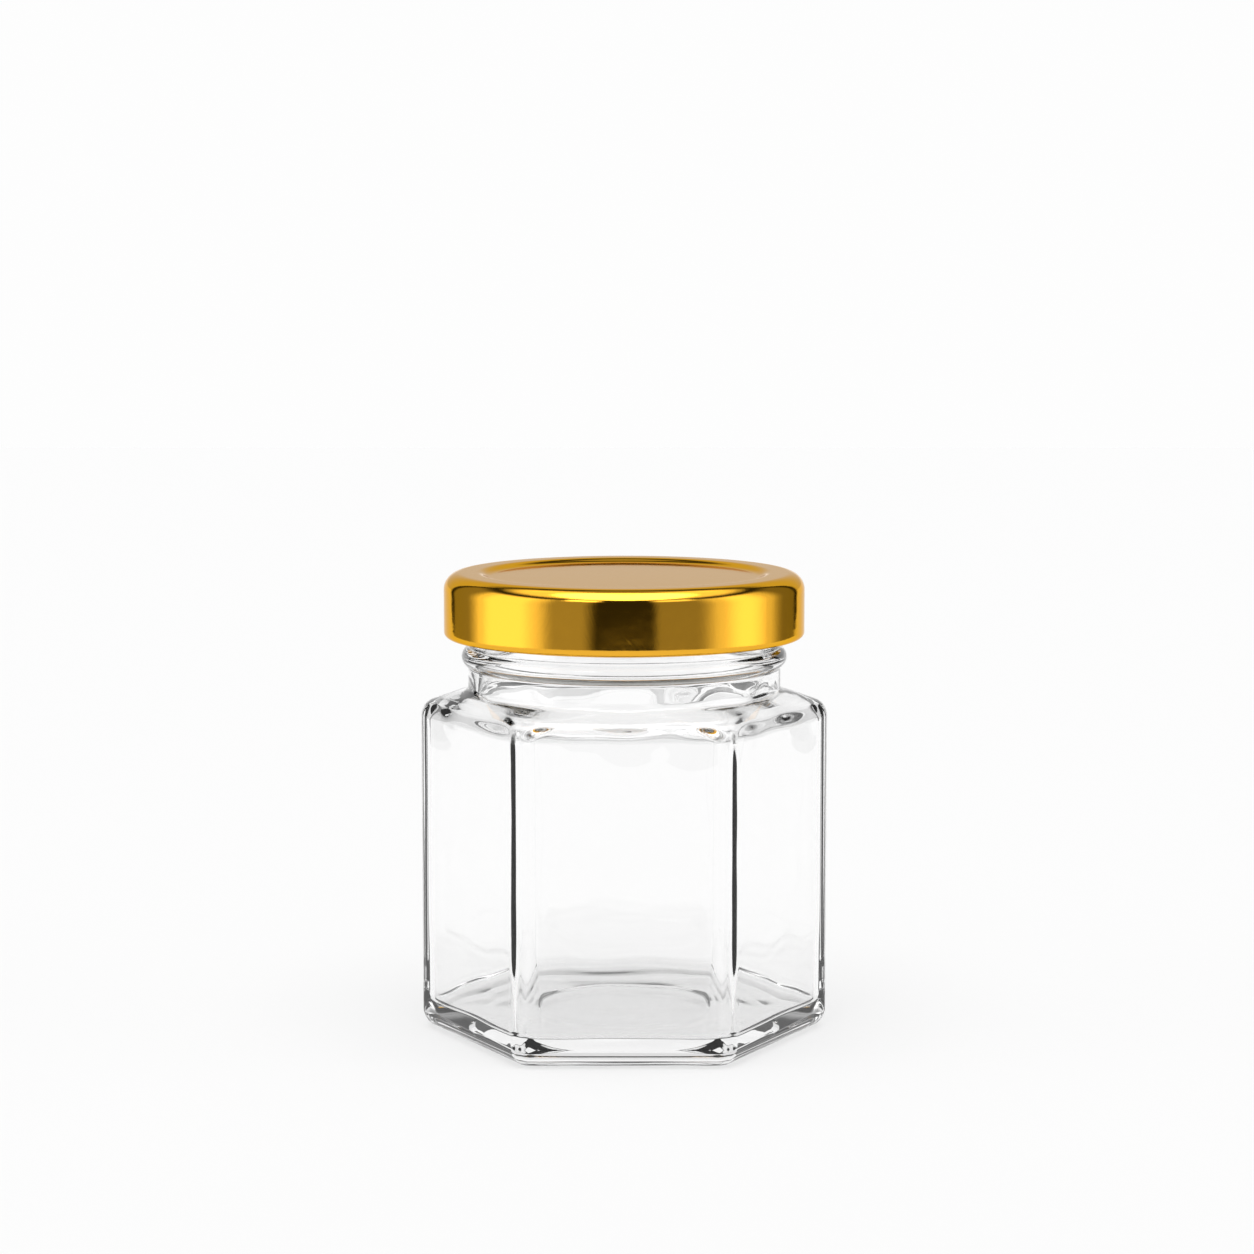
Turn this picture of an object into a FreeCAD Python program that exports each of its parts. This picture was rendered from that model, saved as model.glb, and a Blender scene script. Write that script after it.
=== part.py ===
import FreeCAD, Part
import os
import re
import Sketcher

# A small hexagonal jar of clear glass with a twist-off lid of gold tinplate, in millimetres.
# +Z is up and the origin is at the centre of the surface that the jar stands on. One of the six
# faces looks along -Y, so two of the six upright corners lie on the X axis.

doc = FreeCAD.newDocument("HexJar")

# Driving sizes: alias, value, meaning. Angles are in degrees.
sizes = doc.addObject("Spreadsheet::Sheet", "Sizes")
drivingSizes = [
    ("across_flats", 51.0, "glass body, between two opposite faces"),
    ("corner_radius", 3.5, "upright corners, outside"),
    ("wall", 2.1, "glass of the side walls"),
    ("inner_corner_radius", 9.0, "upright corners, inside"),
    ("body_height", 47.0, "floor to the edge where the faces meet the shoulder, before rounding"),
    ("shoulder_rise", 2.5, "from that edge up to the root of the neck"),
    ("shoulder_edge_radius", 2.3, "rounding between the faces and the shoulder"),
    ("shoulder_wall", 2.2, "glass of the shoulder, measured upright"),
    ("inner_shoulder_radius", 1.4, "rounding under the shoulder, inside"),
    ("heel_radius", 1.6, "rounding round the foot"),
    ("base_thickness", 3.0, "glass of the base under the walls"),
    ("floor_radius", 1.7, "rounding between the inside walls and the inside floor"),
    ("push_up_radius", 14.3, "round hollow under the base"),
    ("push_up_depth", 0.4, "depth of that hollow in the middle"),
    ("neck_radius", 22.2, "neck and finish, outside"),
    ("finish_wall", 2.2, "glass of the neck and finish"),
    ("neck_root_radius", 0.8, "rounding between the shoulder and the neck, outside"),
    ("inner_root_radius", 1.5, "rounding between the shoulder and the bore, inside"),
    ("bead_rise", 4.4, "root of the neck to the middle of the transfer bead"),
    ("bead_reach", 0.9, "bead past the neck"),
    ("bead_half_height", 1.35, "half of the bead's height on the neck"),
    ("finish_rise", 15.2, "root of the neck to the sealing rim"),
    ("rim_radius", 0.6, "roundings of the sealing rim"),
    ("seal_thickness", 0.9, "sealing compound between the rim and the lid"),
    ("lid_sheet", 0.22, "tinplate with its lacquers"),
    ("lid_height", 9.1, "top of the lid's ring to the foot of its skirt"),
    ("lid_edge_radius", 2.4, "rounding between the lid's ring and its skirt"),
    ("skirt_gap", 3.18, "finish to the inside of the skirt"),
    ("ring_width", 4.7, "raised ring of the lid, from its inner edge to the skirt"),
    ("step_run", 2.2, "width of the step from the ring down to the panel"),
    ("step_drop", 0.6, "depth of the panel below the ring"),
    ("curl_radius", 0.75, "rolled edge at the foot of the skirt"),
    ("lug_count", 4, "lugs pressed inwards from the curl"),
    ("lug_gap", 0.9, "finish to the tips of the lugs"),
    ("lug_half_height", 0.5, "half of a lug's height"),
    ("lug_angle", 22.0, "how far each lug runs round the skirt"),
]
for row, (alias, number, meaning) in enumerate(drivingSizes, start=1):
    sizes.set("A%d" % row, alias.replace("_", " "))
    sizes.set("B%d" % row, str(number))
    sizes.set("C%d" % row, meaning)
    sizes.setAlias("B%d" % row, alias)
doc.recompute()

# Sizes that follow from the driving ones, written once and used by name like them.
neckRoot = "(body_height + shoulder_rise)"
rimHeight = "(body_height + shoulder_rise + finish_rise)"
lidTop = "(body_height + shoulder_rise + finish_rise + seal_thickness + lid_sheet)"
lidRadius = "(neck_radius + skirt_gap + lid_sheet)"
mouthRadius = "(neck_radius - finish_wall)"
aliasPattern = re.compile(r"\b(%s)\b" % "|".join(alias for alias, _, _ in drivingSizes))


def linked(text):
    """The expression with every alias looked up in the sheet."""
    return aliasPattern.sub(r"Sizes.\1", text)


def number(text):
    """What the expression comes to now."""
    return float(sizes.evalExpression(text))


def bind(thing, prop, text):
    """Tie a property of an object to an expression in the sheet's aliases."""
    thing.setExpression(prop, linked(text))


def newBody(name):
    body = doc.addObject("PartDesign::Body", name)
    body.Label = name
    return body


def newSketch(body, name, role, offset=None):
    """Empty sketch on one of the body's own origin planes, raised along its normal by offset."""
    sketch = body.newObject("Sketcher::SketchObject", name)
    plane = [feature for feature in body.Origin.OriginFeatures if feature.Role == role][0]
    sketch.AttachmentSupport = (plane, "")
    sketch.MapMode = "FlatFace"
    if offset:
        bind(sketch, ".AttachmentOffset.Base.z", offset)
    return sketch


def place(sketch, line, end, across, up):
    """Hold one end of a line or arc at a point given by two expressions."""
    for kind, axis, text in (("DistanceX", -2, across), ("DistanceY", -1, up)):
        if text == "0":
            sketch.addConstraint(Sketcher.Constraint("PointOnObject", line, end, axis))
        else:
            index = sketch.addConstraint(Sketcher.Constraint(kind, line, end, number(text)))
            bind(sketch, "Constraints[%d]" % index, text)


def drawOutline(sketch, corners):
    """Closed outline through the corners, each (across, up) or (across, up, radius, turn).

    A radius makes the stretch to the next corner an arc, bent to the left or to the right of the
    way the outline runs.
    """
    ends = []
    for here, ahead in zip(corners, corners[1:] + corners[:1]):
        start = FreeCAD.Vector(number(here[0]), number(here[1]), 0)
        finish = FreeCAD.Vector(number(ahead[0]), number(ahead[1]), 0)
        if len(here) == 2:
            line = sketch.addGeometry(Part.LineSegment(start, finish))
            ends.append((line, 1, 2))
            continue
        side = 1 if here[3] == "left" else -1
        chord = finish - start
        inward = FreeCAD.Vector(-chord.y, chord.x, 0).normalize() * side
        radius = max(number(here[2]), chord.Length / 2)
        depth = (radius**2 - (chord.Length / 2) ** 2) ** 0.5
        middle = (start + finish) / 2 - inward * (radius - depth)
        line = sketch.addGeometry(Part.Arc(start, middle, finish))
        ends.append((line, 1, 2) if side > 0 else (line, 2, 1))
    for (line, _, last), (follower, first, _) in zip(ends, ends[1:] + ends[:1]):
        sketch.addConstraint(Sketcher.Constraint("Coincident", line, last, follower, first))
    for (line, first, _), corner in zip(ends, corners):
        place(sketch, line, first, corner[0], corner[1])
        if len(corner) > 2:
            held = Sketcher.Constraint("Radius", line, number(corner[2]))
            bind(sketch, "Constraints[%d]" % sketch.addConstraint(held), corner[2])


def roundedHexagon(inradius, radius):
    """Corners of a hexagon with rounded corners, flat faces towards +Y and -Y.

    Each face is a straight run, as long as the roundings leave it, on a line at the inradius.
    """
    corners = []
    for turn in range(30, 390, 60):
        for side in ("-", "+"):
            reach = "%s (%s - %s) * tan(30 deg)" % (side, inradius, radius)
            across = "(%s) * cos(%d deg) - (%s) * sin(%d deg)" % (inradius, turn, reach, turn)
            up = "(%s) * sin(%d deg) + (%s) * cos(%d deg)" % (inradius, turn, reach, turn)
            corners.append((across, up) if side == "-" else (across, up, radius, "left"))
    return corners


def drawCircle(sketch, radius):
    """Circle about the sketch's origin."""
    centre = FreeCAD.Vector(0, 0, 0)
    circle = sketch.addGeometry(Part.Circle(centre, FreeCAD.Vector(0, 0, 1), number(radius)))
    sketch.addConstraint(Sketcher.Constraint("Coincident", circle, 3, -1, 1))
    held = Sketcher.Constraint("Radius", circle, number(radius))
    bind(sketch, "Constraints[%d]" % sketch.addConstraint(held), radius)


def turned(body, kind, name, corners, angle=None):
    """Revolution or Groove of a profile drawn on the XZ plane, about Z, whole or by an angle."""
    sketch = newSketch(body, name + "_profile", "XZ_Plane")
    drawOutline(sketch, corners)
    feature = body.newObject("PartDesign::" + kind, name)
    feature.Profile = sketch
    feature.ReferenceAxis = (sketch, ["V_Axis"])
    if angle:
        bind(feature, "Angle", angle)
        feature.Midplane = True
    else:
        feature.Angle = 360
    return feature


def lofted(body, name, foot, top, inradius, radius, topRadius):
    """Blend from a rounded hexagon at the height foot up to a circle at the height top."""
    lower = newSketch(body, name + "_foot", "XY_Plane", foot)
    drawOutline(lower, roundedHexagon(inradius, radius))
    upper = newSketch(body, name + "_top", "XY_Plane", top)
    drawCircle(upper, topRadius)
    loft = body.newObject("PartDesign::AdditiveLoft", name)
    loft.Profile = lower
    loft.Sections = [upper]
    loft.Ruled = True
    return loft


def edgesAt(feature, height):
    """Names of the feature's edges that lie level at this height."""
    shape = feature.Shape
    level = number(height)
    names = []
    for index, edge in enumerate(shape.Edges, start=1):
        box = edge.BoundBox
        if abs(box.ZMin - level) < 1e-4 and abs(box.ZMax - level) < 1e-4:
            names.append("Edge%d" % index)
    return names


def filleted(body, name, base, height, radius):
    """Round the level edges of a feature at one height."""
    doc.recompute()
    fillet = body.newObject("PartDesign::Fillet", name)
    fillet.Base = (base, edgesAt(base, height))
    bind(fillet, "Radius", radius)
    return fillet


# ---------------------------------------------------------------- glass jar


def makeOutside():
    """What the blow mould forms: six walls, shoulder, heel, neck with bead and finish, push-up."""
    body = newBody("jar_outside")
    plan = newSketch(body, "plan", "XY_Plane")
    drawOutline(plan, roundedHexagon("across_flats / 2", "corner_radius"))
    walls = body.newObject("PartDesign::Pad", "walls")
    walls.Profile = plan
    bind(walls, "Length", "body_height")
    shoulder = lofted(body, "shoulder", "body_height", neckRoot, "across_flats / 2",
                      "corner_radius", "neck_radius")
    edge = filleted(body, "shoulder_edge", shoulder, "body_height", "shoulder_edge_radius")
    filleted(body, "heel", edge, "0", "heel_radius")
    beadLow = neckRoot + " + bead_rise - bead_half_height"
    beadHigh = neckRoot + " + bead_rise + bead_half_height"
    beadArc = "(bead_reach ^ 2 + bead_half_height ^ 2) / (2 * bead_reach)"
    finish = turned(body, "Revolution", "finish", [
        ("0", "body_height"),
        ("neck_radius", "body_height"),
        ("neck_radius", beadLow, beadArc, "left"),
        ("neck_radius", beadHigh),
        ("neck_radius", rimHeight + " - rim_radius", "rim_radius", "left"),
        ("neck_radius - rim_radius", rimHeight),
        ("0", rimHeight),
    ])
    filleted(body, "neck_root", finish, neckRoot, "neck_root_radius")
    domeArc = "(push_up_radius ^ 2 + push_up_depth ^ 2) / (2 * push_up_depth)"
    turned(body, "Groove", "push_up", [
        ("0", "-push_up_depth"),
        ("push_up_radius", "-push_up_depth"),
        ("push_up_radius", "0", domeArc, "left"),
        ("0", "push_up_depth"),
    ])
    return body


def makeInside():
    """The air in the jar: the same six walls a glass thickness in, and the bore of the mouth."""
    body = newBody("jar_inside")
    inradius = "(across_flats / 2 - wall)"
    plan = newSketch(body, "floor_plan", "XY_Plane", "base_thickness")
    drawOutline(plan, roundedHexagon(inradius, "inner_corner_radius"))
    space = body.newObject("PartDesign::Pad", "space")
    space.Profile = plan
    bind(space, "Length", "body_height - shoulder_wall - base_thickness")
    edge = "body_height - shoulder_wall"
    root = neckRoot + " - shoulder_wall"
    shoulder = lofted(body, "inner_shoulder", edge, root, inradius, "inner_corner_radius",
                      mouthRadius)
    rounded = filleted(body, "inner_edge", shoulder, edge, "inner_shoulder_radius")
    filleted(body, "floor_rounding", rounded, "base_thickness", "floor_radius")
    bore = turned(body, "Revolution", "bore", [
        ("0", edge),
        (mouthRadius, edge),
        (mouthRadius, rimHeight + " - rim_radius", "rim_radius", "right"),
        (mouthRadius + " + rim_radius", rimHeight),
        ("0", rimHeight),
    ])
    filleted(body, "inner_root", bore, root, "inner_root_radius")
    return body


glassJar = doc.addObject("Part::Cut", "glass_jar")
glassJar.Label = "glass_jar"
glassJar.Base = makeOutside()
glassJar.Tool = makeInside()

# ---------------------------------------------------------------- lid


def makeLid():
    """Drawn tinplate shell: sunk panel, raised ring, skirt, rolled curl and pressed-in lugs."""
    body = newBody("lid")
    ring = "(%s - ring_width)" % lidRadius
    panel = "(%s - ring_width - step_run)" % lidRadius
    halfway = "(%s - ring_width - step_run / 2)" % lidRadius
    stepArc = "(step_run ^ 2 + step_drop ^ 2) / (4 * step_drop)"
    edgeStart = lidRadius + " - lid_edge_radius"
    under = lidTop + " - lid_sheet"
    foot = "(%s - lid_height)" % lidTop
    curlMiddle = foot + " + curl_radius"
    inner = lidRadius + " - lid_sheet"
    curlTurn = "sqrt(curl_radius ^ 2 - (curl_radius - lid_sheet) ^ 2)"
    turned(body, "Revolution", "shell", [
        ("0", under + " - step_drop"),
        (panel, under + " - step_drop", stepArc, "left"),
        (halfway, under + " - step_drop / 2", stepArc, "right"),
        (ring, under),
        (edgeStart, under, "lid_edge_radius - lid_sheet", "right"),
        (inner, lidTop + " - lid_edge_radius"),
        (inner, curlMiddle + " + " + curlTurn, "curl_radius", "left"),
        (lidRadius + " - 2 * curl_radius", curlMiddle, "curl_radius", "left"),
        (lidRadius + " - curl_radius", foot, "curl_radius", "left"),
        (lidRadius, curlMiddle),
        (lidRadius, lidTop + " - lid_edge_radius", "lid_edge_radius", "left"),
        (edgeStart, lidTop),
        (ring, lidTop, stepArc, "left"),
        (halfway, lidTop + " - step_drop / 2", stepArc, "right"),
        (panel, lidTop + " - step_drop"),
        ("0", lidTop + " - step_drop"),
    ])
    lugTip = "neck_radius + lug_gap"
    lugRoot = lidRadius + " - curl_radius"
    lug = turned(body, "Revolution", "lug", [
        (lugTip + " + lug_half_height", curlMiddle + " - lug_half_height"),
        (lugRoot, curlMiddle + " - lug_half_height"),
        (lugRoot, curlMiddle + " + lug_half_height"),
        (lugTip + " + lug_half_height", curlMiddle + " + lug_half_height", "lug_half_height", "left"),
        (lugTip, curlMiddle, "lug_half_height", "left"),
    ], "lug_angle")
    lugs = body.newObject("PartDesign::PolarPattern", "lugs")
    lugs.Originals = [lug]
    lugs.Axis = (lug.Profile[0], ["V_Axis"])
    lugs.Angle = 360
    bind(lugs, "Occurrences", "lug_count")
    body.Tip = lugs
    return body


def makeSealingRing():
    """Compound flowed into the channel under the lid's ring; the jar's rim presses against it."""
    body = newBody("sealing_ring")
    innerEdge = "(%s - ring_width)" % lidRadius
    outerEdge = "(%s - lid_edge_radius)" % lidRadius
    under = lidTop + " - lid_sheet"
    turned(body, "Revolution", "compound", [
        (innerEdge, rimHeight),
        (outerEdge, rimHeight),
        (outerEdge, under),
        (innerEdge, under),
    ])
    return body


lid = makeLid()
sealingRing = makeSealingRing()
doc.recompute()

# ---------------------------------------------------------------- checks and files

for thing in doc.Objects:
    if "Invalid" in thing.State or "Error" in thing.State:
        raise RuntimeError("%s did not compute" % thing.Name)
uncut = glassJar.Base.Shape.Volume
if glassJar.Shape.Volume > uncut - glassJar.Tool.Shape.Volume + 1:
    raise RuntimeError("the inside was not cut out of the jar")
pressed = doc.getObject("push_up")
if pressed.Shape.Volume >= pressed.BaseFeature.Shape.Volume:
    raise RuntimeError("the push-up cut nothing")

os.makedirs("parts", exist_ok=True)
for part in (glassJar, lid, sealingRing):
    shape = part.Shape
    if shape.isNull() or not shape.isValid() or len(shape.Solids) != 1:
        raise RuntimeError("%s is not one valid solid" % part.Label)
    shape.exportStep("parts/%s.step" % part.Label)
    print("%-14s %9.1f mm3" % (part.Label, shape.Volume))
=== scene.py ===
import math

import bpy
import numpy as np
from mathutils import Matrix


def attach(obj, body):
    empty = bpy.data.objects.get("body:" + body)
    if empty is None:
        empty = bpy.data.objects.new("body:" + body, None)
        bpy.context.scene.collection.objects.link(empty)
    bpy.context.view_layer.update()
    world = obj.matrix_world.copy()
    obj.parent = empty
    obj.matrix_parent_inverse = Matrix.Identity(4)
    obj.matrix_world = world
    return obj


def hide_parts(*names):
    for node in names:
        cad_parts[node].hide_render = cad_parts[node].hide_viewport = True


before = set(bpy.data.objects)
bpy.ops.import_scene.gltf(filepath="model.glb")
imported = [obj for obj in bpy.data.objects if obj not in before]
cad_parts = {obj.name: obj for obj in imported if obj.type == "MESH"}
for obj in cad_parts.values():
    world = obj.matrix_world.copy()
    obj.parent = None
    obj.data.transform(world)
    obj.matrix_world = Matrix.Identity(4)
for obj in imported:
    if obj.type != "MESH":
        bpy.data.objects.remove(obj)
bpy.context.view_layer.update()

# A small hexagonal jar of clear glass with a gold twist-off lid, on a pale studio floor.
# Sizes in the dictionaries are millimetres and degrees where a note says nothing else; meshes are in
# metres.

mm = 0.001
noise = np.random.default_rng(7)


# A closed skin from a grid of rings: row by row the ring's points are joined to the next ring's,
# and a single point closes the first ring and the last.
def skinFromRings(name, rings, firstPole, lastPole):
    rows, around = rings.shape[:2]
    points = np.concatenate([rings.reshape(-1, 3), [firstPole], [lastPole]]) * mm
    row, column = np.meshgrid(np.arange(rows - 1), np.arange(around), indexing="ij")
    ahead = (column + 1) % around
    quads = np.stack([row * around + column, row * around + ahead,
                      (row + 1) * around + ahead, (row + 1) * around + column], axis=-1).reshape(-1, 4)
    rim = np.arange(around)
    rimAhead = (rim + 1) % around
    first = np.stack([np.full(around, rows * around), rimAhead, rim], axis=-1)
    lastRow = (rows - 1) * around
    last = np.stack([lastRow + rim, lastRow + rimAhead, np.full(around, rows * around + 1)], axis=-1)
    corners = np.concatenate([quads.ravel(), first.ravel(), last.ravel()])
    counts = np.concatenate([np.full(len(quads), 4), np.full(2 * around, 3)])
    mesh = bpy.data.meshes.new(name)
    mesh.vertices.add(len(points))
    mesh.vertices.foreach_set("co", points.astype(np.float32).ravel())
    mesh.loops.add(len(corners))
    mesh.loops.foreach_set("vertex_index", corners.astype(np.int32))
    mesh.polygons.add(len(counts))
    mesh.polygons.foreach_set("loop_start", (np.cumsum(counts) - counts).astype(np.int32))
    mesh.polygons.foreach_set("use_smooth", np.ones(len(counts), dtype=bool))
    mesh.update(calc_edges=True)
    mesh.validate()
    piece = bpy.data.objects.new(name, mesh)
    bpy.context.collection.objects.link(piece)
    return piece


# Points along a circular arc, centre plus radius times cosine and sine of evenly spaced angles.
def arc(centre, radius, start, end, count):
    angle = np.radians(np.linspace(start, end, count))
    return np.stack([centre[0] + radius * np.cos(angle), centre[1] + radius * np.sin(angle)], axis=-1)


# Points along a quadratic curve: it leaves the first point towards the second and arrives at the
# third from it.
def bend(first, second, third, count):
    t = np.linspace(0, 1, count)[:, None]
    return (1 - t) ** 2 * np.array(first) + 2 * t * (1 - t) * np.array(second) + t**2 * np.array(third)


# Evenly spaced points on a straight run, its ends left to the pieces that it joins.
def run(first, last, count):
    t = np.linspace(0, 1, count + 2)[1:-1, None]
    return (1 - t) * np.array(first) + t * np.array(last)


# Points from their distance to the axis, angle and height: the distance times cosine and sine.
def ringPoints(radius, angle, height):
    return np.stack([radius * np.cos(angle), radius * np.sin(angle), height], axis=-1)


# A section turned about the axis: evenly spaced angles, and its radius and height at each of them.
def turnedRings(section, count):
    angle = (np.arange(count) / count * 2 * math.pi)[None, :]
    radius = np.broadcast_to(section[:, :1], (len(section), count))
    height = np.broadcast_to(section[:, 1:], (len(section), count))
    return angle, radius, height


# Soft step from 0 at the first value to 1 at the last, three times the square less twice the cube.
def softStep(value, first, last):
    t = np.clip((value - first) / (last - first), 0, 1)
    return t * t * (3 - 2 * t)


# Colour from sRGB hex to linear: each channel over 255, then divided by 12.92 where it is dark, and
# otherwise raised by 0.055, scaled back and taken to the power of 2.4.
def linear(hexColour):
    parts = [int(hexColour[i:i + 2], 16) / 255 for i in (1, 3, 5)]
    return [c / 12.92 if c <= 0.04045 else ((c + 0.055) / 1.055) ** 2.4 for c in parts] + [1.0]


# Adds a node to a tree, with its settings, the values of its inputs and the links into them.
def node(tree, kind, settings=None, values=None, links=None):
    made = tree.nodes.new(kind)
    for key, value in (settings or {}).items():
        setattr(made, key, value)
    for key, value in (values or {}).items():
        made.inputs[key].default_value = value
    for key, source in (links or {}).items():
        tree.links.new(source, made.inputs[key])
    return made


# An empty material that is made of nodes, and its tree.
def newMaterial(name):
    material = bpy.data.materials.new(name)
    material.use_nodes = True
    material.node_tree.nodes.clear()
    return material, material.node_tree


# The glass jar. Shares are of the way from the hexagon to the neck's circle, or from the mouth's
# circle to the inner hexagon.
jarSizes = {
    # Hexagon.
    "acrossFlats": 51.0,
    "cornerCut": 28.9,  # from the axis to the small flat across each upright corner
    "cornerRadius": 2.0,  # between that flat and the faces
    "tightestRadius": 0.3,  # least rounding where the heel or the floor's edge takes it away
    "faceTop": 45.2,
    # Base.
    "heelRadius": 2.8,
    "pushUpRadius": 14.3,
    "pushUpStep": 2.0,
    "pushUpDepth": 0.4,
    # Shoulder.
    "edgeReach": 0.27,  # share that its rounded edge would take as a full quarter
    "edgeHeight": 2.3,
    "edgeTurn": 72,  # how much of that quarter there is before the straight slope
    "rootShare": 0.84,  # where the hollow rounding at the neck starts
    "rootRise": 0.8,
    # Neck, transfer bead and rim.
    "neckRoot": 49.0,
    "neckRadius": 22.2,
    "beadHeight": 53.9,
    "beadHalfHeight": 1.35,
    "beadReach": 0.9,
    "beadHollow": 0.3,
    "beadTrim": 8,  # taken off each end of the bead's arc for its hollow root
    "finishFoot": 2,  # over the bead's middle
    "rimHeight": 64.7,
    "rimRadius": 0.6,
    "mouthRadius": 20.0,
    # Thread.
    "threadStarts": 4,
    "threadReach": 1.1,
    "threadHalfWidth": 0.95,
    "threadFoot": 59.6,
    "threadClimb": 1.9,
    "threadSpan": 62,
    "threadFade": 54,  # from here to its span it sinks into the wall
    "threadLeadIn": 0.14,  # radians
    # Inside.
    "wall": 2.1,
    "innerCornerRadius": 1.6,
    "innerCut": 26.5,
    "innerShoulderFoot": 44.6,
    "innerShoulderTop": 48.0,
    "innerTopRise": 1.2,
    "innerUnder": (0.25, 0.15),  # share of the way out, share of the way down
    "innerBrow": (0.7, 0.42),
    "innerBrowBend": 0.28,
    "floorHeight": 3.8,
    "floorRadius": 1.0,
    "floorLift": 0.15,
    "floorLiftFrom": 15,  # distance from the axis
    "floorLiftRise": 9,
    "floorCornerRadius": 6.0,
    "floorCornerRise": 13.0,
    # Unevenness of the blown inside.
    "waveCount": 24,
    "waveLengths": (7, 15),
    "waviness": 0.06,
    "wallWaves": 0.3,
    "baseWaves": 0.3,
    "baseWavesRise": 5,
    "shoulderWaves": 2.2,
    "shoulderWavesRise": 4,  # below the foot of the inner shoulder
    "shoulderWavesFade": (0.5, 4),  # over its top
    "calmAxis": (1, 8),  # distances from the axis over which it grows to full strength
    "calmRim": (2, 10),  # the same down from the rim
    # Mesh.
    "pointsAround": 276,
    "crowding": 3.6,  # how closely the points gather at the corners
    "poleRadius": 0.5,
}


# Angles round the jar, crowded at the six upright corners: each sixth is a hyperbolic sine of an
# even spacing, so that the small roundings get most of the points.
def jarAngles(count, crowding):
    perSixth = count // 6
    s = (np.arange(perSixth) + 0.5) / perSixth * 2 - 1
    within = 30 * np.sinh(crowding * s) / math.sinh(crowding)
    return np.radians((within[None, :] + 60 * np.arange(6)[:, None]).ravel())


# Distance from the axis to a hexagon whose corners are cut back and whose edges are rounded, at
# each angle. Flat is the distance to the faces, cut the distance to the cut corners and rounding the
# radius between them: on a face or a cut it is that distance over the cosine of the angle from its
# middle, and between them the far side of a circle set back from both. Flat, cut and rounding all
# equal give a circle.
def cutHexagon(angle, flat, cut, rounding):
    fromCorner = np.abs((angle + math.pi / 6) % (math.pi / 3) - math.pi / 6)
    fromFace = math.pi / 6 - fromCorner
    ahead = flat - rounding
    aside = (cut - rounding - ahead * math.cos(math.pi / 6)) / math.sin(math.pi / 6)
    along = ahead * np.cos(fromFace) + aside * np.sin(fromFace)
    across = aside * np.cos(fromFace) - ahead * np.sin(fromFace)
    rounded = along + np.sqrt(np.maximum(rounding**2 - across**2, 0))
    faceEnds = np.arctan2(aside, flat)
    cutStarts = np.arctan2(aside + rounding * math.sin(math.pi / 6),
                           ahead + rounding * math.cos(math.pi / 6))
    radius = np.where(fromFace > faceEnds, rounded, flat / np.cos(fromFace))
    return np.where(fromFace > cutStarts, cut / np.cos(fromCorner), radius)


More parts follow.
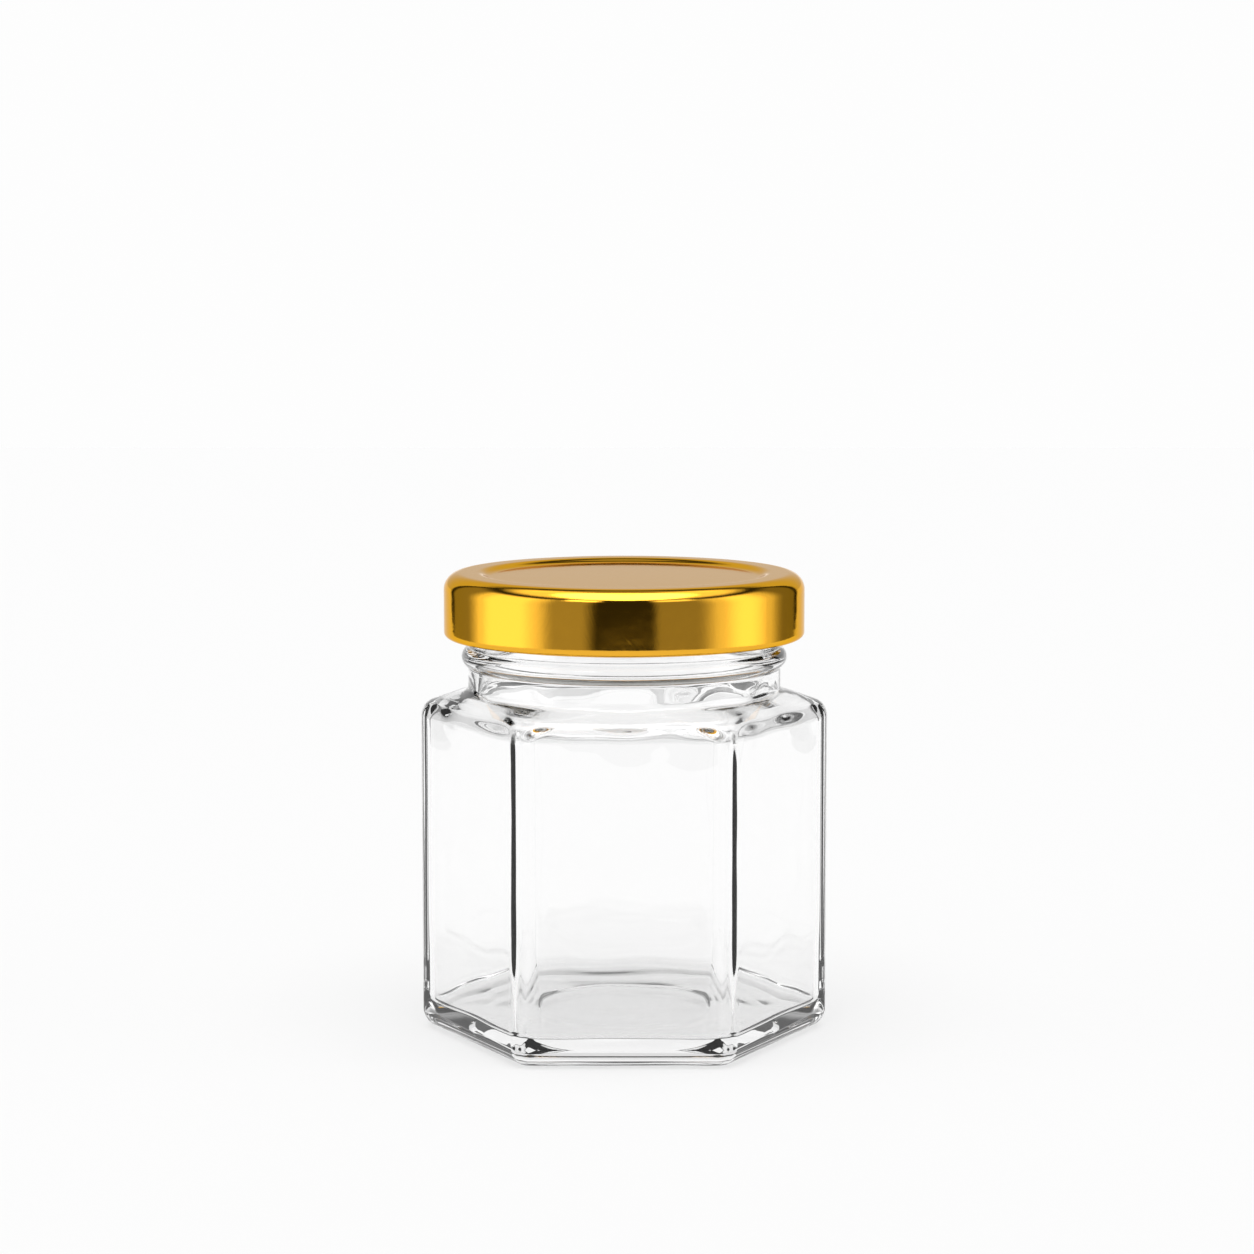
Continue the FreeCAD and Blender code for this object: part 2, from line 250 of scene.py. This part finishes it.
# The jar's section as rows of inradius, distance to the cut corners, corner rounding and height. It
# runs from the middle of the base out, up the outside, over the rim and down the inside to the
# middle of the floor.
def jarRows(size):
    flat = size["acrossFlats"] / 2
    cut = size["cornerCut"]
    corner = size["cornerRadius"]
    neck = size["neckRadius"]
    heel = size["heelRadius"]
    mouth = size["mouthRadius"]
    pole = size["poleRadius"]
    rows = []

    def add(toFlat, toCut, rounding, height):
        rows.append(np.stack(np.broadcast_arrays(toFlat, toCut, rounding, height), axis=-1))

    # Round recess under the base: level in its middle, with a soft step down at its edge.
    recess = size["pushUpRadius"]
    level = recess - size["pushUpStep"]
    r = np.concatenate([np.linspace(pole, level, 14)[:-1], np.linspace(level, recess, 14)])
    add(r, r, r, size["pushUpDepth"] * (1 - softStep(r, level, recess)))
    # Flat band that the jar stands on, from that circle out to the hexagon of the heel.
    t = np.linspace(0, 1, 9)[1:-1]
    edge = max(corner - heel, size["tightestRadius"])
    add((1 - t) * recess + t * (flat - heel), (1 - t) * recess + t * (cut - heel),
        (1 - t) * recess + t * edge, 0.0)
    # Heel: a quarter circle that moves the face and its corner out together.
    angle = np.radians(np.linspace(0, 90, 12))
    inset = heel * (1 - np.sin(angle))
    add(flat - inset, cut - inset, edge + (corner - edge) * np.sin(angle), heel * (1 - np.cos(angle)))
    # Faces.
    add(flat, cut, corner, run([heel], [size["faceTop"]], 30)[:, 0])
    # Shoulder: the share of the way from hexagon to circle runs 0 to 1. It starts as a quarter
    # ellipse, goes on straight and ends in a small hollow rounding at the neck.
    along = np.radians(np.linspace(0, size["edgeTurn"], 15))
    share = size["edgeReach"] * (1 - np.cos(along))
    height = size["faceTop"] + size["edgeHeight"] * np.sin(along)
    foot = (share[-1], height[-1])
    root, rootShare = size["neckRoot"], size["rootShare"]
    slope = (root - foot[1]) / (1.0 - foot[0])
    rootFoot = (rootShare, foot[1] + slope * (rootShare - foot[0]))
    neckFoot = root + size["rootRise"]
    path = np.concatenate([
        np.stack([share, height], axis=-1),
        run(foot, rootFoot, 12),
        bend(rootFoot, (1.0, root), (1.0, neckFoot), 8),
    ])
    add(flat + (neck - flat) * path[:, 0], cut + (neck - cut) * path[:, 0],
        corner + (neck - corner) * path[:, 0], path[:, 1])
    # Neck, transfer bead with small hollow roots, and finish up to the rounded rim.
    bead, half, reach = size["beadHeight"], size["beadHalfHeight"], size["beadReach"]
    low, high, hollow = bead - half, bead + half, size["beadHollow"]
    beadRadius = (reach**2 + half**2) / (2 * reach)
    spread = math.degrees(math.asin(half / beadRadius)) - size["beadTrim"]
    bulge = arc((neck + reach - beadRadius, bead), beadRadius, -spread, spread, 15)
    rim, rimTop = size["rimRadius"], size["rimHeight"]
    innerTop, innerFoot = size["innerShoulderTop"], size["innerShoulderFoot"]
    boreFoot = innerTop + size["innerTopRise"]
    outline = np.concatenate([
        run((neck, neckFoot), (neck, low - hollow), 8),
        bend((neck, low - hollow), (neck, low), bulge[0], 5),
        bulge[1:-1],
        bend(bulge[-1], (neck, high), (neck, high + hollow), 5),
        run((neck, high + hollow), (neck, rimTop - rim), 34),
        arc((neck - rim, rimTop - rim), rim, 0, 90, 9),
        run((neck - rim, rimTop), (mouth + rim, rimTop), 3),
        arc((mouth + rim, rimTop - rim), rim, 90, 180, 9),
        run((mouth, rimTop - rim), (mouth, boreFoot), 16),
    ])
    add(outline[:, 0], outline[:, 0], outline[:, 0], outline[:, 1])
    # Inner shoulder: the share now runs 0 at the mouth to 1 at the walls.
    insideFlat = flat - size["wall"]
    insideCorner = size["innerCornerRadius"]
    insideCut = size["innerCut"]
    drop = innerTop - innerFoot
    under = (size["innerUnder"][0], innerTop - size["innerUnder"][1] * drop)
    brow = (size["innerBrow"][0], innerTop - size["innerBrow"][1] * drop)
    path = np.concatenate([
        bend((0.0, boreFoot), (0.0, innerTop), under, 10),
        run(under, brow, 10),
        bend(brow, (1.0, brow[1] - size["innerBrowBend"] * drop), (1.0, innerFoot), 12),
    ])
    add(mouth + (insideFlat - mouth) * path[:, 0], mouth + (insideCut - mouth) * path[:, 0],
        mouth + (insideCorner - mouth) * path[:, 0], path[:, 1])
    # Inner walls: their corners grow rounder towards the floor.
    floor, floorEdge = size["floorHeight"], size["floorRadius"]
    lowCorner = size["floorCornerRadius"]
    upright = run([innerFoot], [floor + floorEdge], 36)[:, 0]
    rounder = 1 - softStep(upright, floor + floorEdge, floor + floorEdge + size["floorCornerRise"])
    add(insideFlat, insideCut, insideCorner + (lowCorner - insideCorner) * rounder, upright)
    # Floor: a quarter circle at its edge, then level to the axis.
    angle = np.radians(np.linspace(0, 90, 12))
    inset = floorEdge * (1 - np.cos(angle))
    edge = max(lowCorner - floorEdge, size["tightestRadius"])
    add(insideFlat - inset, insideCut - inset, lowCorner + (edge - lowCorner) * (1 - np.cos(angle)),
        floor + floorEdge * (1 - np.sin(angle)))
    t = np.linspace(0, 1, 16)[1:]
    add((1 - t) * (insideFlat - floorEdge) + t * pole, (1 - t) * (insideCut - floorEdge) + t * pole,
        (1 - t) * edge + t * pole, floor)
    return np.concatenate(rows)


# Raised thread on the finish: each start climbs evenly round the neck, its height above the wall a
# raised cosine across the thread, faded at both ends.
def threadRise(angle, height, size):
    span = math.radians(size["threadSpan"])
    fade = math.radians(size["threadFade"])
    rise = np.zeros(np.broadcast(angle, height).shape)
    for start in range(size["threadStarts"]):
        along = (angle - math.radians(360 / size["threadStarts"] * start)) % (2 * math.pi)
        middle = size["threadFoot"] + size["threadClimb"] * along / span
        across = np.clip(np.abs(height - middle) / size["threadHalfWidth"], 0, 1)
        ends = softStep(along, 0.0, size["threadLeadIn"]) * (1 - softStep(along, fade, span))
        rise = np.maximum(rise, 0.5 * (1 + np.cos(math.pi * across)) * ends)
    return rise * size["threadReach"]


# Unevenness of the blown inside: the sum of plane waves in random directions is pushed out along
# the skin's own normal, which is the cross product of the steps along the section and round it. It
# is strongest at the shoulder and the floor, where the glass is thick, and fades at the axis and
# towards the rim.
def blownSkin(rings, inside, size):
    count = size["waveCount"]
    waves = noise.normal(size=(count, 3))
    lengths = noise.uniform(*size["waveLengths"], count)
    waves = waves / np.linalg.norm(waves, axis=1)[:, None] * (2 * math.pi / lengths)[:, None]
    shift = noise.uniform(0, 2 * math.pi, count)
    swell = np.cos(rings @ waves.T + shift).sum(axis=-1) / math.sqrt(count / 2)
    aroundStep = np.roll(rings, -1, axis=1) - np.roll(rings, 1, axis=1)
    alongStep = np.gradient(rings, axis=0)
    normal = np.cross(alongStep, aroundStep)
    normal = normal / np.maximum(np.linalg.norm(normal, axis=-1, keepdims=True), 1e-9)
    height = rings[..., 2]
    floor, foot, top = size["floorHeight"], size["innerShoulderFoot"], size["innerShoulderTop"]
    atFloor = 1 - softStep(height, floor, floor + size["baseWavesRise"])
    growing = softStep(height, foot - size["shoulderWavesRise"], top)
    fading = softStep(height - top, *size["shoulderWavesFade"])
    atShoulder = growing * (1 - fading)
    strength = size["wallWaves"] + size["baseWaves"] * atFloor + size["shoulderWaves"] * atShoulder
    fromAxis = np.hypot(rings[..., 0], rings[..., 1])
    fade = softStep(fromAxis, *size["calmAxis"]) * softStep(size["rimHeight"] - height, *size["calmRim"])
    return np.where(inside, swell * strength * fade, 0)[..., None] * normal


# The whole jar: each row becomes a ring of the cut hexagon's distance times cosine and sine of the
# angle. The thread is added to the distance, and the unevenness to the finished points.
def makeJar(size):
    rows = jarRows(size)
    angle = jarAngles(size["pointsAround"], size["crowding"])[None, :]
    flat, cut, corner, height = (rows[:, i][:, None] for i in range(4))
    radius = cutHexagon(angle, flat, cut, corner)
    highest = int(np.argmax(rows[:, 3]))
    rimRows = 12  # across the top of the rim and down its inner rounding
    inside = (np.arange(len(rows)) > highest + rimRows)[:, None]
    finish = (~inside) & (height > size["beadHeight"] + size["finishFoot"])
    radius = radius + np.where(finish, threadRise(angle, height, size), 0)
    # The floor's edge climbs a little along each face, and stays low in the corners.
    floor = size["floorHeight"]
    nearWall = softStep(flat, size["floorLiftFrom"], size["acrossFlats"] / 2 - size["wall"])
    nearFloor = 1 - softStep(height, floor, floor + size["floorLiftRise"])
    climb = size["floorLift"] * (0.5 - 0.5 * np.cos(6 * angle)) * nearWall * nearFloor
    height = height + np.where(inside, climb, 0)
    rings = ringPoints(radius, angle, height)
    rings = rings + size["waviness"] * blownSkin(rings, inside, size)
    piece = skinFromRings("jar", rings, (0, 0, size["pushUpDepth"]), (0, 0, floor))
    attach(piece, "root")
    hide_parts("glass_jar")
    return piece


# The lid, a pressed sheet with a rolled edge.
lidSizes = {
    "radius": 25.6,
    "top": 65.82,
    "height": 9.1,
    "edgeRadius": 2.4,
    "sheet": 0.22,
    "ringInner": 20.9,
    "panelRadius": 18.7,
    "panelDrop": 0.6,
    "curlRadius": 0.75,
    "curlTurn": 290,
    # Lugs. Where each fades is a share of its half width, and of the curl's radius.
    "lugReach": 0.95,
    "lugCount": 4,
    "lugAngle": 22,
    "lugEnds": (0.8, 1.1),
    "lugDepths": (0.9, 1.9),
    # White inside.
    "lining": 0.04,
    "liningGap": 0.01,
    # Mesh.
    "pointsAround": 288,
    "poleRadius": 0.4,
}


# The lid's section in two runs: out over the top, down the skirt and round the curl, then back under
# the sheet to the axis.
def lidRows(size):
    radius, top, sheet = size["radius"], size["top"], size["sheet"]
    panel, ring, drop = size["panelRadius"], size["ringInner"], size["panelDrop"]
    edge, curl, pole = size["edgeRadius"], size["curlRadius"], size["poleRadius"]
    foot = top - size["height"]
    stepRun = ring - panel
    stepRadius = (stepRun**2 + drop**2) / (4 * drop)
    turn = math.degrees(math.asin(stepRun / 2 / stepRadius))

    # Step between panel and ring: two equal arcs, hollow then round, that share a tangent.
    def stepCurve(level, count):
        low = arc((panel, level - drop + stepRadius), stepRadius, 270, 270 + turn, count)
        high = arc((ring, level - stepRadius), stepRadius, 90 + turn, 90, count)
        return np.concatenate([low, high[1:]])

    upper = np.concatenate([
        run((pole, top - drop), (panel, top - drop), 26),
        stepCurve(top, 9),
        run((ring, top), (radius - edge, top), 5),
        arc((radius - edge, top - edge), edge, 90, 0, 16),
        run((radius, top - edge), (radius, foot + curl), 16),
        arc((radius - curl, foot + curl), curl, 0, -90, 8)[:-1],
        arc((radius - curl, foot + curl), curl, -90, -size["curlTurn"], 16),
    ])
    inner = radius - sheet
    under = np.concatenate([
        run((inner, foot + 2 * curl), (inner, top - edge), 10),
        arc((radius - edge, top - edge), edge - sheet, 0, 90, 10),
        run((radius - edge, top - sheet), (ring, top - sheet), 3),
        stepCurve(top - sheet, 6)[::-1],
        run((panel, top - drop - sheet), (pole, top - drop - sheet), 12),
    ])
    return upper, under


# Lugs: the inner half of the curl is pushed in over a short stretch, several times round. The push
# is the reach times a soft step at the lug's ends, times one less the square of the height off the
# curl's middle over its radius, times a soft step from the outside of the curl to its inside.
def lugPush(radius, height, angle, size):
    perLug = 2 * math.pi / size["lugCount"]
    fromLug = np.abs((angle + perLug / 2) % perLug - perLug / 2)
    half = math.radians(size["lugAngle"] / 2)
    curl = size["curlRadius"]
    endStart, endStop = size["lugEnds"]
    pressed = 1 - softStep(fromLug, half * endStart, half * endStop)
    curlMiddle = size["top"] - size["height"] + curl
    nearCurl = np.clip(1 - ((height - curlMiddle) / curl) ** 2, 0, 1)
    depthStart, depthStop = size["lugDepths"]
    inwards = softStep(size["radius"] - radius, curl * depthStart, curl * depthStop)
    return size["lugReach"] * pressed * nearCurl * inwards


# The sheet with its lugs: the two runs of the section joined, turned about the axis and pressed in.
def makeLid(size):
    upper, under = lidRows(size)
    rows = np.concatenate([upper, under])[::-1]
    angle, radius, height = turnedRings(rows, size["pointsAround"])
    radius = radius - lugPush(radius, height, angle, size)
    middle = size["top"] - size["panelDrop"]
    piece = skinFromRings("lid_shell", ringPoints(radius, angle, height),
                          (0, 0, middle - size["sheet"]), (0, 0, middle))
    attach(piece, "root")
    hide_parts("lid")
    return piece


# White lacquer on the lid's inside: a thin skin against the underside of the sheet. Its section is
# the sheet's, moved off along the direction of the section turned by a quarter, and closed by the
# same moved farther.
def makeLining(size):
    _, under = lidRows(size)
    gap, coat = size["liningGap"], size["lining"]
    along = np.gradient(under, axis=0)
    away = np.stack([-along[:, 1], along[:, 0]], axis=-1)
    away = away / np.linalg.norm(away, axis=1)[:, None]
    rows = np.concatenate([(under + away * (gap + coat))[::-1], under + away * gap])
    angle, radius, height = turnedRings(rows, size["pointsAround"] // 2)
    below = size["top"] - size["panelDrop"] - size["sheet"]
    piece = skinFromRings("lid_lining", ringPoints(radius, angle, height),
                          (0, 0, below - gap - coat), (0, 0, below - gap))
    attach(piece, "root")
    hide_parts("lid")
    return piece


# The ring of sealing compound between rim and lid.
sealSizes = {
    "inner": 20.95,
    "outer": 23.15,
    "foot": 64.72,
    "top": 65.54,
    "rounding": 0.18,
    "pointsAround": 144,
}


# Band of compound: a rectangle with rounded corners, turned about the axis. It is an open ring, so
# the last row meets the first.
def makeSeal(size):
    inner, outer, r = size["inner"], size["outer"], size["rounding"]
    foot, top = size["foot"], size["top"]
    section = np.concatenate([
        arc((outer - r, foot + r), r, -90, 0, 5),
        arc((outer - r, top - r), r, 0, 90, 5),
        arc((inner + r, top - r), r, 90, 180, 5),
        arc((inner + r, foot + r), r, 180, 270, 5),
    ])
    around = size["pointsAround"]
    angle, radius, height = turnedRings(section, around)
    points = ringPoints(radius, angle, height).reshape(-1, 3) * mm
    row, column = np.meshgrid(np.arange(len(section)), np.arange(around), indexing="ij")
    below, ahead = (row + 1) % len(section), (column + 1) % around
    faces = np.stack([row * around + column, row * around + ahead,
                      below * around + ahead, below * around + column], axis=-1).reshape(-1, 4)
    mesh = bpy.data.meshes.new("seal")
    mesh.from_pydata(points.tolist(), [], faces.tolist())
    mesh.polygons.foreach_set("use_smooth", np.ones(len(faces), dtype=bool))
    mesh.update()
    piece = bpy.data.objects.new("seal", mesh)
    bpy.context.collection.objects.link(piece)
    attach(piece, "root")
    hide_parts("sealing_ring")
    return piece


# In the materials a pattern's scale is one over its size in metres, so 1000 gives cells of 1 mm.

# Soda-lime flint glass, blown in a mould and fire polished: clear and colourless, with a skin that
# is very slightly uneven, so lines seen through it tremble a little.
def blownFlintGlass():
    material, tree = newMaterial("blown_flint_glass")
    place = node(tree, "ShaderNodeTexCoord")
    # Flow marks about 6 mm across and four times as long, upright as the glass sank into the mould.
    stretch = node(tree, "ShaderNodeMapping", values={"Scale": (160, 160, 40)},
                   links={"Vector": place.outputs["Object"]})
    flow = node(tree, "ShaderNodeTexNoise", values={"Scale": 1.0, "Detail": 1.0, "Roughness": 0.4},
                links={"Vector": stretch.outputs["Vector"]})
    uneven = node(tree, "ShaderNodeBump", values={"Strength": 0.06, "Distance": 0.0002},
                  links={"Height": flow.outputs["Fac"]})
    glass = node(tree, "ShaderNodeBsdfPrincipled",
                 values={"Base Color": linear("#FFFFFF"), "Roughness": 0.0, "IOR": 1.52,
                         "Transmission Weight": 1.0},
                 links={"Normal": uneven.outputs["Normal"]})
    node(tree, "ShaderNodeOutputMaterial", links={"Surface": glass.outputs["BSDF"]})
    return material


# Tinplate with a baked gold lacquer, drawn in a press: a bright yellow metal mirror that goes pale
# at a glancing view, with the sheet's rolling grain, a trace of orange peel and fine rub marks.
def goldLacqueredTinplate():
    material, tree = newMaterial("gold_lacquered_tinplate")
    place = node(tree, "ShaderNodeTexCoord")
    # Rolling grain, lines 0.4 mm apart: the real ones are 0.05 mm and would not show.
    along = node(tree, "ShaderNodeMapping", values={"Rotation": (0, 0, 0.6), "Scale": (60, 2400, 500)},
                 links={"Vector": place.outputs["Object"]})
    grain = node(tree, "ShaderNodeTexNoise", values={"Scale": 1.0, "Detail": 3.0, "Roughness": 0.6},
                 links={"Vector": along.outputs["Vector"]})
    # Orange peel of the lacquer, cells of about 1.6 mm.
    peel = node(tree, "ShaderNodeTexNoise", values={"Scale": 620.0, "Detail": 1.0, "Roughness": 0.4},
                links={"Vector": place.outputs["Object"]})
    grainBump = node(tree, "ShaderNodeBump", values={"Strength": 0.05, "Distance": 0.00004},
                     links={"Height": grain.outputs["Fac"]})
    peelBump = node(tree, "ShaderNodeBump", values={"Strength": 0.06, "Distance": 0.0001},
                    links={"Height": peel.outputs["Fac"], "Normal": grainBump.outputs["Normal"]})
    # Rub marks from handling: curved hairlines about 0.4 mm apart, bent by a slow noise.
    sweep = node(tree, "ShaderNodeTexNoise", values={"Scale": 90.0, "Detail": 1.0},
                 links={"Vector": place.outputs["Object"]})
    swept = node(tree, "ShaderNodeMix", {"data_type": "VECTOR"}, {"Factor": 0.012},
                 {"A": place.outputs["Object"], "B": sweep.outputs["Color"]})
    turned = node(tree, "ShaderNodeMapping",
                  values={"Rotation": (0.5, 0.9, 0.3), "Scale": (2400, 150, 260)},
                  links={"Vector": swept.outputs["Result"]})
    rubs = node(tree, "ShaderNodeTexNoise", values={"Scale": 1.0, "Detail": 2.0, "Roughness": 0.5},
                links={"Vector": turned.outputs["Vector"]})
    rubBump = node(tree, "ShaderNodeBump", values={"Strength": 0.07, "Distance": 0.00006},
                   links={"Height": rubs.outputs["Fac"], "Normal": peelBump.outputs["Normal"]})
    # The grain also makes the mirror a little duller and brighter by turns.
    dull = node(tree, "ShaderNodeMapRange",
                values={"From Min": 0.3, "From Max": 0.7, "To Min": 0.055, "To Max": 0.1},
                links={"Value": grain.outputs["Fac"]})
    gold = node(tree, "ShaderNodeBsdfPrincipled",
                values={"Base Color": linear("#F0B236"), "Metallic": 1.0,
                        "Specular Tint": linear("#EBD9B0")},
                links={"Normal": rubBump.outputs["Normal"], "Roughness": dull.outputs["Result"]})
    node(tree, "ShaderNodeOutputMaterial", links={"Surface": gold.outputs["BSDF"]})
    return material


# White food-safe lacquer rolled on the inside of the sheet: an even satin white.
def whiteFoodLacquer():
    material, tree = newMaterial("white_food_lacquer")
    place = node(tree, "ShaderNodeTexCoord")
    # Fine orange peel, about 1 mm.
    peel = node(tree, "ShaderNodeTexNoise", values={"Scale": 1000.0, "Detail": 1.0},
                links={"Vector": place.outputs["Object"]})
    bump = node(tree, "ShaderNodeBump", values={"Strength": 0.08, "Distance": 0.00005},
                links={"Height": peel.outputs["Fac"]})
    lacquer = node(tree, "ShaderNodeBsdfPrincipled",
                   values={"Base Color": linear("#F4F3EF"), "Roughness": 0.35, "IOR": 1.5},
                   links={"Normal": bump.outputs["Normal"]})
    node(tree, "ShaderNodeOutputMaterial", links={"Surface": lacquer.outputs["BSDF"]})
    return material


# Plastisol flowed into the lid and cured: a soft off-white vinyl with a dull skin.
def curedPlastisol():
    material, tree = newMaterial("cured_plastisol")
    place = node(tree, "ShaderNodeTexCoord")
    # Specks of filler, about 0.6 mm apart.
    specks = node(tree, "ShaderNodeTexNoise", values={"Scale": 1800.0, "Detail": 2.0},
                  links={"Vector": place.outputs["Object"]})
    tone = node(tree, "ShaderNodeMix", {"data_type": "RGBA"}, links={"Factor": specks.outputs["Fac"]})
    tone.inputs["A"].default_value = linear("#EFEADC")
    tone.inputs["B"].default_value = linear("#E2DCCB")
    vinyl = node(tree, "ShaderNodeBsdfPrincipled", values={"Roughness": 0.45, "IOR": 1.53},
                 links={"Base Color": tone.outputs["Result"]})
    node(tree, "ShaderNodeOutputMaterial", links={"Surface": vinyl.outputs["BSDF"]})
    return material


# The studio. Levels are strengths of light.
studio = {
    "tableFront": 400,
    "tableBack": 1300,
    "tableSide": 340,
    "tableDrop": 0.02,  # a hair under the jar, so that the two don't coincide
    "tableColour": "#707070",
    "tableGlow": 0.70,
    "plainBackdrop": 0.985,  # what the camera sees past the object
    "dimRoom": 0.03,  # light from between the screens
    # Lights and screens round the object. Each has its middle and half width by compass, counted
    # from the camera's side to the right, its lowest and highest height above the horizon, how soft
    # its edges are across and upright, and how bright it is.
    "screens": {
        "backdrop": {"middle": 180, "half": 37, "heights": (-60, 40), "soft": (3, 14), "level": 0.72},
        "rear horizon": {"middle": 180, "half": 37, "heights": (-60, 3.5), "soft": (3, 2), "level": 0.265},
        "left box": {"middle": -81, "half": 24, "heights": (-60, 37), "soft": (26, 10), "level": 1.75},
        "left fill": {"middle": -40, "half": 18, "heights": (-60, 40), "soft": (12, 12), "level": 0.38},
        "left spot": {"middle": -30, "half": 12, "heights": (34, 44), "soft": (10, 8), "level": 2.6},
        "left rear": {"middle": -120, "half": 17, "heights": (-60, 38), "soft": (4, 12), "level": 0.28},
        "right box": {"middle": 84, "half": 20, "heights": (-60, 38), "soft": (36, 10), "level": 1.75},
        "right fill": {"middle": 42, "half": 22, "heights": (-60, 40), "soft": (8, 12), "level": 0.29},
        "right spot": {"middle": 36, "half": 14, "heights": (34, 44), "soft": (12, 8), "level": 1.6},
        "right rear": {"middle": 121, "half": 16, "heights": (-60, 38), "soft": (4, 12), "level": 0.20},
        "left top": {"middle": -75, "half": 75, "heights": (50, 90), "soft": (30, 12), "level": 1.4},
        "right top": {"middle": 75, "half": 75, "heights": (50, 90), "soft": (30, 12), "level": 1.4},
        "rear top": {"middle": 180, "half": 50, "heights": (56, 76), "soft": (30, 10), "level": 0.5},
    },
    # Round diffuser overhead, leaning to the camera's side.
    "overhead": {"lean": 14, "radius": 28, "soft": 8, "level": 4.0},
}


# Everything round the object is drawn in the world shader, direction by direction. A screen is a
# smooth window over its stretch of compass times one over its heights, and the screens add up.
def makeStudio(setting):
    world = bpy.data.worlds.new("studio")
    bpy.context.scene.world = world
    world.use_nodes = True
    tree = world.node_tree
    tree.nodes.clear()
    way = node(tree, "ShaderNodeTexCoord").outputs["Generated"]
    parts = node(tree, "ShaderNodeSeparateXYZ", links={"Vector": way})

    def calc(operation, *terms):
        made = node(tree, "ShaderNodeMath", {"operation": operation})
        for socket, term in zip(made.inputs, terms):
            if isinstance(term, (int, float)):
                socket.default_value = term
            else:
                tree.links.new(term, socket)
        return made.outputs["Value"]

    # 1 inside the half width and 0 outside it, with a soft edge.
    def window(offCentre, half, soft):
        made = node(tree, "ShaderNodeMapRange", {"interpolation_type": "SMOOTHSTEP"},
                    {"From Min": half + soft / 2, "From Max": half - soft / 2}, {"Value": offCentre})
        return made.outputs["Result"]

    toCamera = calc("MULTIPLY", parts.outputs["Y"], -1.0)
    compass = calc("DEGREES", calc("ARCTAN2", parts.outputs["X"], toCamera))
    rise = calc("DEGREES", calc("ARCSINE", parts.outputs["Z"]))
    total = None
    for screen in setting["screens"].values():
        low, high = screen["heights"]
        across = calc("ABSOLUTE", calc("WRAP", calc("SUBTRACT", compass, screen["middle"]), 180.0, -180.0))
        upright = calc("ABSOLUTE", calc("SUBTRACT", rise, (low + high) / 2))
        share = calc("MULTIPLY", window(across, screen["half"], screen["soft"][0]),
                     window(upright, (high - low) / 2, screen["soft"][1]))
        light = calc("MULTIPLY", share, screen["level"])
        total = light if total is None else calc("ADD", total, light)
    # The overhead light's own axis, as a dot product with the direction.
    top = setting["overhead"]
    lean = math.radians(top["lean"])
    axis = calc("ADD", calc("MULTIPLY", parts.outputs["Z"], math.cos(lean)),
                calc("MULTIPLY", parts.outputs["Y"], -math.sin(lean)))
    away = calc("DEGREES", calc("ARCCOSINE", axis))
    total = calc("ADD", total, calc("MULTIPLY", window(away, top["radius"], top["soft"]), top["level"]))
    total = calc("ADD", total, setting["dimRoom"])
    # The camera itself sees a plain backdrop.
    seen = node(tree, "ShaderNodeLightPath")
    shown = node(tree, "ShaderNodeMix", {"data_type": "FLOAT"}, {"B": setting["plainBackdrop"]},
                 {"Factor": seen.outputs["Is Camera Ray"], "A": total})
    light = node(tree, "ShaderNodeBackground", values={"Color": linear("#FFFFFF")},
                 links={"Strength": shown.outputs["Result"]})
    node(tree, "ShaderNodeOutputWorld", links={"Surface": light.outputs["Background"]})


# Table: a sheet with a half ellipse for its front and square corners at the back.
def makeTable(setting):
    side, back = setting["tableSide"], setting["tableBack"]
    turn = np.radians(np.linspace(180, 360, 65))
    front = np.stack([side * np.cos(turn), setting["tableFront"] * np.sin(turn)], axis=-1)
    outline = np.concatenate([front, [(side, back), (-side, back)]])
    rim = np.column_stack([outline, np.full(len(outline), -setting["tableDrop"])]) * mm
    mesh = bpy.data.meshes.new("table")
    mesh.from_pydata(rim.tolist(), [], [tuple(range(len(rim)))])
    table = bpy.data.objects.new("table", mesh)
    bpy.context.collection.objects.link(table)
    mesh.materials.append(opalAcrylic(setting))


# Opal acrylic sheet, cast and matt, lit faintly from below: pale, with soft shadows and no gloss.
def opalAcrylic(setting):
    material, tree = newMaterial("opal_acrylic")
    acrylic = node(tree, "ShaderNodeBsdfPrincipled",
                   values={"Base Color": linear(setting["tableColour"]), "Roughness": 1.0,
                           "Specular IOR Level": 0.0, "Emission Color": linear("#FFFFFF"),
                           "Emission Strength": setting["tableGlow"]})
    node(tree, "ShaderNodeOutputMaterial", links={"Surface": acrylic.outputs["BSDF"]})
    return material


# The camera stands in front of the object and looks down on it by a small angle.
cameraPlace = {
    "distance": 460.0,
    "height": 112.9,
    "aside": 0.4,
    "lookDown": 0.119,  # radians
    "lens": 93.56,
    "sensor": 36,
    "nearest": 10,
}


def makeCamera(place):
    data = bpy.data.cameras.new("camera")
    data.lens = place["lens"]
    data.sensor_width = place["sensor"]
    data.clip_start = place["nearest"] * mm
    camera = bpy.data.objects.new("camera", data)
    camera.location = (place["aside"] * mm, -place["distance"] * mm, place["height"] * mm)
    camera.rotation_euler = (math.pi / 2 - place["lookDown"], 0, 0)
    bpy.context.collection.objects.link(camera)
    bpy.context.scene.camera = camera


jar = makeJar(jarSizes)
print("jar:", len(jar.data.polygons), "faces")
lid = makeLid(lidSizes)
print("lid:", len(lid.data.polygons), "faces")
lining = makeLining(lidSizes)
print("lining:", len(lining.data.polygons), "faces")
seal = makeSeal(sealSizes)
print("sealing ring:", len(seal.data.polygons), "faces")

jar.data.materials.append(blownFlintGlass())
lid.data.materials.append(goldLacqueredTinplate())
lining.data.materials.append(whiteFoodLacquer())
seal.data.materials.append(curedPlastisol())
print("materials done")

makeStudio(studio)
makeTable(studio)
makeCamera(cameraPlace)
bpy.context.scene.view_settings.view_transform = "Standard"
print("studio and camera done")
